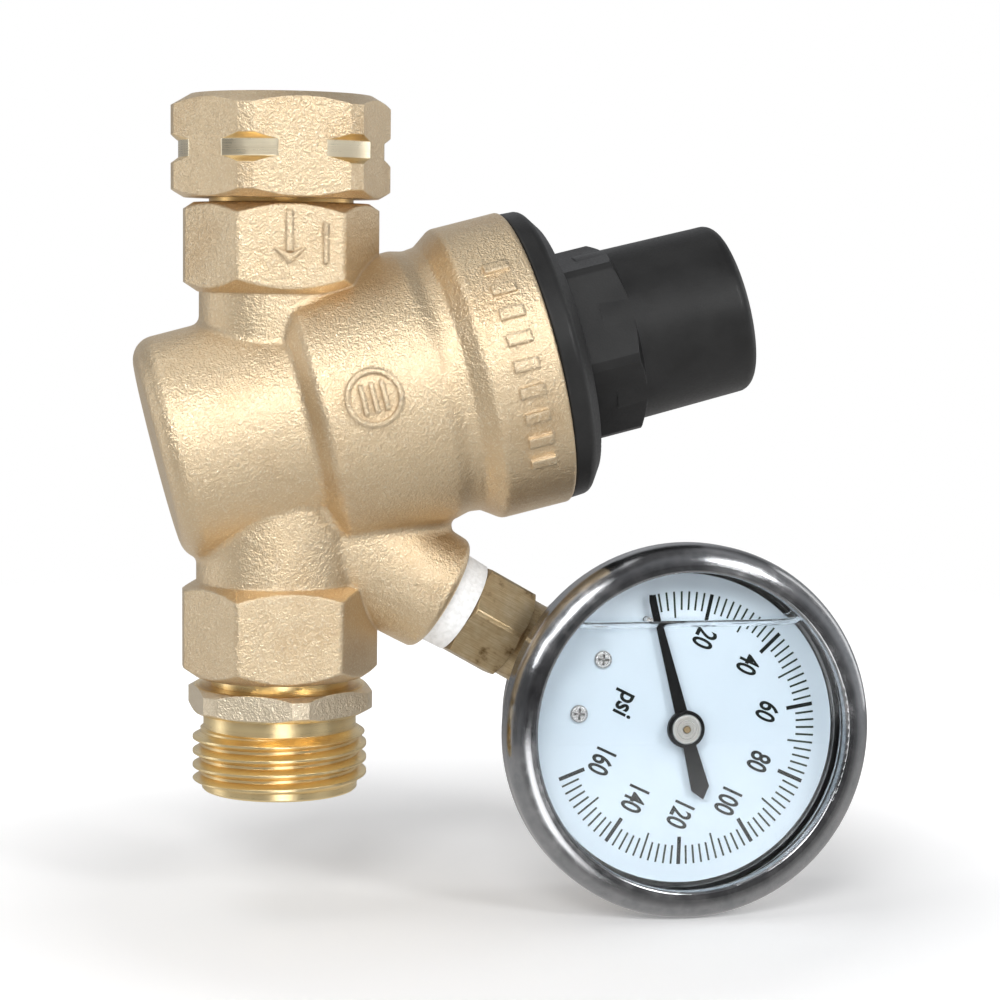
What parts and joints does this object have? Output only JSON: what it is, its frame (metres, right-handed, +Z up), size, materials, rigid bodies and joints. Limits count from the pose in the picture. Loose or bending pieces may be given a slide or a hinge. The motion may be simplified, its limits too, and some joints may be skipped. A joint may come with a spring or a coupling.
{
  "type": "water pressure regulator",
  "caption": "Brass in-line water pressure regulator with a swivel hose nut, a male hose outlet, a black adjusting bonnet and a liquid-filled dial gauge.",
  "frame": {"origin": "centre of the swivel nut's mouth, on the pipe axis", "axes": "+Z up along the pipe towards the inlet hose, +X towards the adjusting end and the gauge, -Y the way the dial faces"},
  "size_m": [0.1123, 0.0467, 0.1248],
  "materials": {
    "cast_brass": "shot-blasted casting",
    "turned_brass": "machined",
    "aged_brass": "brushed and aged",
    "inner_brass": "machined",
    "black_plastic": "satin moulded",
    "black_rubber": "smooth",
    "white_tape": "wrapped tape",
    "steel": "brushed",
    "polished_steel": "polished",
    "spring_steel": "drawn wire",
    "window": "clear",
    "dial_white": "printed",
    "pointer_black": "satin",
    "hub_silver": "turned"
  },
  "bodies": {
    "regulator": {"body_casting": "cast_brass", "inlet_tail": "turned_brass", "tail_seal": "black_rubber", "hose_washer": "black_rubber", "filter_screen": "steel", "outlet_nipple": "turned_brass", "outlet_seal": "black_rubber", "valve_cage": "inner_brass", "cage_seal": "black_rubber", "stem_seal": "black_rubber", "main_spring": "spring_steel", "bonnet": "black_plastic", "bonnet_seal": "black_rubber", "thread_tape": "white_tape", "gauge_socket": "aged_brass", "bourdon_tube": "inner_brass", "movement_back_plate": "inner_brass", "movement_front_plate": "inner_brass", "movement_screws": "steel", "hairspring": "spring_steel", "gauge_case": "steel", "fill_plug": "black_rubber", "gauge_bezel": "polished_steel", "window_gasket": "black_rubber", "gauge_window": "window", "gauge_dial": "dial_white", "dial_screws": "polished_steel", "stop_pin": "polished_steel"},
    "swivel_nut": {"swivel_nut": "cast_brass"},
    "piston": {"piston": "inner_brass", "piston_seal": "black_rubber", "valve_disc": "black_rubber", "disc_holder": "inner_brass", "disc_nut": "inner_brass"},
    "spring_seat": {"spring_seat": "inner_brass"},
    "adjusting_screw": {"adjusting_screw": "turned_brass"},
    "sector": {"sector_gear": "inner_brass"},
    "pointer": {"gauge_pointer": "pointer_black", "pointer_hub": "hub_silver", "pointer_spindle": "inner_brass"},
    "link": {"movement_link": "inner_brass"},
    "tube_tip": {"tube_tip": "inner_brass"}
  },
  "joints": [
    {"name": "nut_swivel", "type": "hinge", "parent": "regulator", "child": "swivel_nut", "pos_m": [0, 0, -0.008], "axis": [0, 0, 1], "continuous": true},
    {"name": "piston_travel", "type": "slide", "parent": "regulator", "child": "piston", "axis": [0.969, 0, 0.247], "range_m": [0, 0.0024], "stiffness_N_per_m": 3000, "springref_m": -0.001, "deforming": ["main_spring"]},
    {"name": "seat_travel", "type": "slide", "parent": "regulator", "child": "spring_seat", "axis": [0.969, 0, 0.247], "range_m": [-0.003, 0.003]},
    {"name": "screw_turn", "type": "hinge", "parent": "spring_seat", "child": "adjusting_screw", "pos_m": [0.06299, 0, -0.03345], "axis": [0.969, 0, 0.247], "range_deg": [-722, 722]},
    {"name": "sector_swing", "type": "hinge", "parent": "regulator", "child": "sector", "pos_m": [0.04752, -0.0081, -0.10004], "axis": [0.0311, -0.998, 0.0545], "range_deg": [0, 26.2]},
    {"name": "pointer_sweep", "type": "hinge", "parent": "regulator", "child": "pointer", "pos_m": [0.06096, -0.01337, -0.0961], "axis": [-0.0311, 0.998, -0.0545], "range_deg": [0, 262.5], "deforming": ["hairspring"]},
    {"name": "link_swing", "type": "hinge", "parent": "sector", "child": "link", "pos_m": [0.04273, -0.00912, -0.10131], "axis": [0.0311, -0.998, 0.0545], "range_deg": [-27, 0.5]},
    {"name": "tip_travel", "type": "slide", "parent": "regulator", "child": "tube_tip", "axis": [0.4761, -0.0332, -0.8787], "range_m": [0, 0.0024], "deforming": ["bourdon_tube"]}
  ],
  "couplings": [
    {"joint": "screw_turn", "follows": "seat_travel", "rad_per_m": 4188.8},
    {"joint": "pointer_sweep", "follows": "sector_swing", "ratio": 10},
    {"joint": "link_swing", "follows": "sector_swing", "ratio": -1},
    {"joint": "tip_travel", "follows": "sector_swing", "m_per_rad": 0.0049566}
  ]
}
